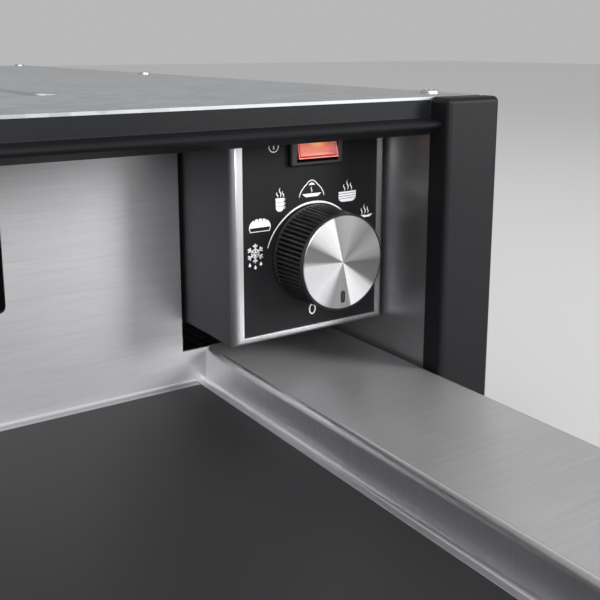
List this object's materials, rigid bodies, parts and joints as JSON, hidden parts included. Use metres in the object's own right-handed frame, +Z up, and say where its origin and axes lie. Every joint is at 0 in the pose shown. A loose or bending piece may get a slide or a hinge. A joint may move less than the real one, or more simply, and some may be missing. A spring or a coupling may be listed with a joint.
{
  "type": "built in warming drawer",
  "caption": "Low built-in warming drawer on telescopic runners, with a control box holding a lit rocker switch and a thermostat knob over its right shelf, and a fan heater behind.",
  "frame": {"origin": "centre of the underside of the housing, which rests on the niche's floor", "axes": "+X to the right seen from the front, +Y into the niche, +Z up"},
  "size_m": [0.595, 0.96, 0.1395],
  "materials": {
    "brushed_steel": "brushed stainless sheet, grain along X on the rear wall and along Y on shelves and liners",
    "galvanised_steel": "plain zinc-coated sheet",
    "black_paint": "satin black paint",
    "anthracite_paint": "satin dark grey paint",
    "satin_silver": "satin silver",
    "fascia_black": "satin black with pale printed symbols",
    "black_plastic": "satin black plastic",
    "spun_metal": "spun finish in rings",
    "amber_lens": "clear orange, lit from inside",
    "lamp_glass": "small lamp",
    "dark_mat": "matte anti-slip mat",
    "black_rubber": "soft black",
    "zinc_steel": "zinc-plated",
    "heater_steel": "heat-tinted tube",
    "copper": "drawn copper",
    "ceramic": "white ceramic"
  },
  "bodies": {
    "housing": {"base_pan": "galvanised_steel", "left_side_panel": "galvanised_steel", "right_side_panel": "galvanised_steel", "left_liner": "brushed_steel", "right_liner": "brushed_steel", "top_cover": "galvanised_steel", "back_panel": "galvanised_steel", "left_front_trim": "black_paint", "right_front_trim": "black_paint", "front_cross_rail": "black_paint", "control_box": "satin_silver", "control_box_cover": "galvanised_steel", "fascia_plate": "fascia_black", "wiring_duct": "galvanised_steel", "thermostat_body": "zinc_steel", "rocker_housing": "black_plastic", "indicator_lamp": "lamp_glass", "heater_baffle": "galvanised_steel", "heating_element": "heater_steel", "left_heater_clip": "zinc_steel", "right_heater_clip": "zinc_steel", "thermal_cutout": "black_plastic", "thermostat_bulb": "copper", "capillary_tube": "copper", "terminal_block": "ceramic", "cable_gland": "black_plastic", "fan_motor": "zinc_steel", "left_fixed_runner": "zinc_steel", "right_fixed_runner": "zinc_steel", "latch_body": "black_plastic"},
    "drawer": {"left_drawer_runner": "zinc_steel", "right_drawer_runner": "zinc_steel", "drawer_floor": "brushed_steel", "anti_slip_mat": "dark_mat", "rear_wall": "brushed_steel", "left_shelf": "brushed_steel", "right_shelf": "brushed_steel", "left_side_bracket": "galvanised_steel", "right_side_bracket": "galvanised_steel", "left_front_bracket": "galvanised_steel", "right_front_bracket": "galvanised_steel", "front_panel": "anthracite_paint", "front_back_plate": "brushed_steel", "left_lower_buffer": "black_rubber", "right_lower_buffer": "black_rubber", "left_upper_buffer": "black_rubber", "right_upper_buffer": "black_rubber", "latch_catch": "zinc_steel"},
    "left_middle_runner": {"left_middle_runner": "zinc_steel"},
    "right_middle_runner": {"right_middle_runner": "zinc_steel"},
    "knob": {"thermostat_shaft": "zinc_steel", "knob_body": "black_plastic", "knob_cap": "spun_metal"},
    "rocker": {"rocker_button": "amber_lens"},
    "fan": {"fan_impeller": "galvanised_steel", "fan_shaft": "zinc_steel"},
    "latch_plunger": {"latch_plunger": "black_plastic"}
  },
  "joints": [
    {"name": "drawer_slide", "type": "slide", "parent": "housing", "child": "drawer", "axis": [0, 1, 0], "range_m": [0, 0.39]},
    {"name": "left_runner_slide", "type": "slide", "parent": "housing", "child": "left_middle_runner", "axis": [0, 1, 0], "range_m": [0, 0.195]},
    {"name": "right_runner_slide", "type": "slide", "parent": "housing", "child": "right_middle_runner", "axis": [0, 1, 0], "range_m": [0, 0.195]},
    {"name": "knob_turn", "type": "hinge", "parent": "housing", "child": "knob", "pos_m": [0.2225, -0.238, 0.0807], "axis": [0, 1, 0], "range_deg": [0, 240]},
    {"name": "rocker_tilt", "type": "hinge", "parent": "housing", "child": "rocker", "pos_m": [0.2225, -0.2365, 0.1193], "axis": [1, 0, 0], "range_deg": [0, 16]},
    {"name": "fan_spin", "type": "hinge", "parent": "housing", "child": "fan", "pos_m": [0, 0.212, 0.06775], "axis": [0, 1, 0], "continuous": true},
    {"name": "plunger_push", "type": "slide", "parent": "housing", "child": "latch_plunger", "axis": [0, 1, 0], "range_m": [0, 0.003], "stiffness_N_per_m": 400}
  ],
  "couplings": [
    {"joint": "left_runner_slide", "follows": "drawer_slide", "ratio": 0.5},
    {"joint": "right_runner_slide", "follows": "drawer_slide", "ratio": 0.5}
  ]
}
